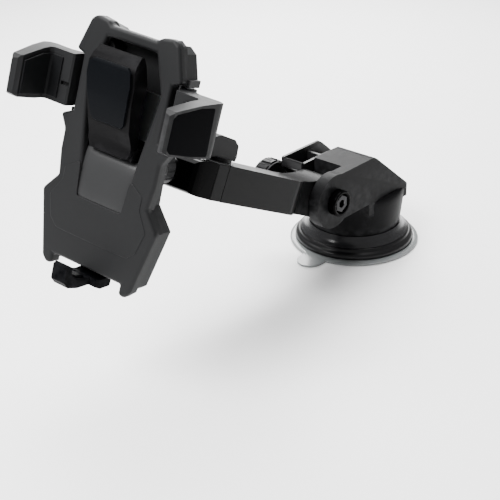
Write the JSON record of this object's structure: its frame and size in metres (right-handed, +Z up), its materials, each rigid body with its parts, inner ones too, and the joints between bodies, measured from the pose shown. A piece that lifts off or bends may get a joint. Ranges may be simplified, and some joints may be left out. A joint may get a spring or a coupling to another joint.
{
  "type": "car phone mount",
  "caption": "Suction-cup dashboard phone mount: lever-locked base, telescopic pivoting arm, ball joint and spring-clamp cradle.",
  "frame": {"origin": "centre of the suction pad's underside", "axes": "+Z up from the surface the pad grips, -X towards the cradle, -Y towards the pivot nut"},
  "size_m": [0.279, 0.1057, 0.1827],
  "materials": {
    "gel": "translucent soft gel",
    "ring_black": "satin moulded",
    "step_band": "bright turned",
    "housing_black": "fine-grained moulded",
    "charcoal_shell": "fine-grained moulded",
    "lever_black": "satin moulded",
    "arm_grey": "satin painted",
    "gloss_black": "polished",
    "grip_rubber": "smooth moulded rubber",
    "trigger_rubber": "smooth moulded rubber",
    "steel": "machined",
    "bolt_chrome": "polished",
    "liner_nylon": "moulded nylon",
    "knob_black": "satin moulded"
  },
  "bodies": {
    "base": {"suction_pad": "gel", "suction_ring": "ring_black", "step_ring": "step_band", "base_housing": "housing_black", "pivot_boss": "gloss_black", "pivot_bolt": "bolt_chrome", "pivot_washers": "steel", "stem_spring": "steel", "cam_plate": "steel", "base_screws": "steel"},
    "stem": {"suction_stem": "knob_black", "lever_pin": "steel"},
    "lever": {"lock_lever": "lever_black"},
    "pivot_clamp": {"pivot_knob": "knob_black"},
    "outer_arm": {"outer_arm_tube": "arm_grey", "arm_collar": "arm_grey", "clamp_shoe": "grip_rubber"},
    "telescope_clamp": {"telescope_knob": "knob_black"},
    "inner_arm": {"inner_arm_tube": "gloss_black", "arm_head": "gloss_black", "ball_stud": "steel"},
    "pan_liner": {"ball_liner_inner": "liner_nylon"},
    "tilt_liner": {"ball_liner_outer": "liner_nylon"},
    "cradle": {"ball_socket": "charcoal_shell", "rear_shell": "charcoal_shell", "front_shell": "charcoal_shell", "trigger_pin": "steel", "arm_pins": "steel", "arm_springs": "steel", "back_screws": "steel"},
    "ball_clamp": {"ball_nut": "knob_black"},
    "trigger": {"trigger_lever": "charcoal_shell", "trigger_pad": "trigger_rubber"},
    "sync": {"sync_plate": "steel"},
    "right_clamp": {"right_arm": "charcoal_shell", "right_arm_pad": "grip_rubber"},
    "left_clamp": {"left_arm": "charcoal_shell", "left_arm_pad": "grip_rubber"},
    "right_button": {"right_release": "arm_grey"},
    "left_button": {"left_release": "arm_grey"},
    "foot": {"bottom_foot": "charcoal_shell", "foot_pad": "grip_rubber"}
  },
  "joints": [
    {"name": "stem_slide", "type": "slide", "parent": "base", "child": "stem", "axis": [0, 0, 1], "range_m": [-0.003, 0], "deforming": ["stem_spring"]},
    {"name": "lever_hinge", "type": "hinge", "parent": "stem", "child": "lever", "pos_m": [0.009, 0, 0.0355], "axis": [0, 1, 0], "range_deg": [0, 60]},
    {"name": "arm_pivot", "type": "hinge", "parent": "base", "child": "outer_arm", "pos_m": [-0.0524, 0, 0.0508], "axis": [0, 1, 0], "range_deg": [-25, 60]},
    {"name": "pivot_knob_turn", "type": "hinge", "parent": "base", "child": "pivot_clamp", "pos_m": [-0.0524, 0, 0.0508], "axis": [0, 1, 0], "range_deg": [-180, 180]},
    {"name": "telescope_knob_turn", "type": "hinge", "parent": "outer_arm", "child": "telescope_clamp", "pos_m": [-0.13448, -0.01225, 0.09235], "axis": [0.4517, 0, 0.8922], "range_deg": [-90, 90]},
    {"name": "telescope_slide", "type": "slide", "parent": "outer_arm", "child": "inner_arm", "axis": [-0.8922, 0, 0.4517], "range_m": [0, 0.045]},
    {"name": "ball_pan", "type": "hinge", "parent": "inner_arm", "child": "pan_liner", "pos_m": [-0.175, -0.0095, 0.10973], "axis": [0.2994, -0.0785, 0.9509], "range_deg": [-29, 7]},
    {"name": "ball_tilt", "type": "hinge", "parent": "pan_liner", "child": "tilt_liner", "pos_m": [-0.175, -0.0095, 0.10973], "axis": [0.1456, -0.9812, -0.1269], "range_deg": [-27, 8]},
    {"name": "ball_roll", "type": "hinge", "parent": "tilt_liner", "child": "cradle", "pos_m": [-0.175, -0.0095, 0.10973], "axis": [-0.9429, -0.1765, 0.2823], "continuous": true},
    {"name": "ball_nut_turn", "type": "hinge", "parent": "cradle", "child": "ball_clamp", "pos_m": [-0.175, -0.0095, 0.10973], "axis": [-0.9429, -0.1765, 0.2823], "continuous": true},
    {"name": "trigger_hinge", "type": "hinge", "parent": "cradle", "child": "trigger", "pos_m": [-0.19476, -0.01325, 0.12569], "axis": [-0.1456, 0.9812, 0.1269], "range_deg": [0, 15], "stiffness_Nm_per_rad": 0.05},
    {"name": "right_arm_hinge", "type": "hinge", "parent": "cradle", "child": "right_clamp", "pos_m": [-0.18293, -0.04186, 0.14379], "axis": [-0.2994, 0.0785, -0.9509], "range_deg": [0, 18]},
    {"name": "left_arm_hinge", "type": "hinge", "parent": "cradle", "child": "left_clamp", "pos_m": [-0.19093, 0.0121, 0.15077], "axis": [0.2994, -0.0785, 0.9509], "range_deg": [0, 18]},
    {"name": "sync_slide", "type": "slide", "parent": "cradle", "child": "sync", "axis": [0.9429, 0.1765, -0.2823], "range_m": [0, 0.0024]},
    {"name": "right_release_press", "type": "slide", "parent": "cradle", "child": "right_button", "axis": [-0.1456, 0.9812, 0.1269], "range_m": [0, 0.0015], "stiffness_N_per_m": 400},
    {"name": "left_release_press", "type": "slide", "parent": "cradle", "child": "left_button", "axis": [0.1456, -0.9812, -0.1269], "range_m": [0, 0.0015], "stiffness_N_per_m": 400},
    {"name": "foot_slide", "type": "slide", "parent": "cradle", "child": "foot", "axis": [-0.2994, 0.0785, -0.9509], "range_m": [0, 0.015]}
  ],
  "couplings": [
    {"joint": "stem_slide", "follows": "lever_hinge", "m_per_rad": -0.00286},
    {"joint": "right_arm_hinge", "follows": "trigger_hinge", "ratio": 1.2},
    {"joint": "left_arm_hinge", "follows": "trigger_hinge", "ratio": 1.2},
    {"joint": "sync_slide", "follows": "trigger_hinge", "m_per_rad": 0.009129}
  ]
}
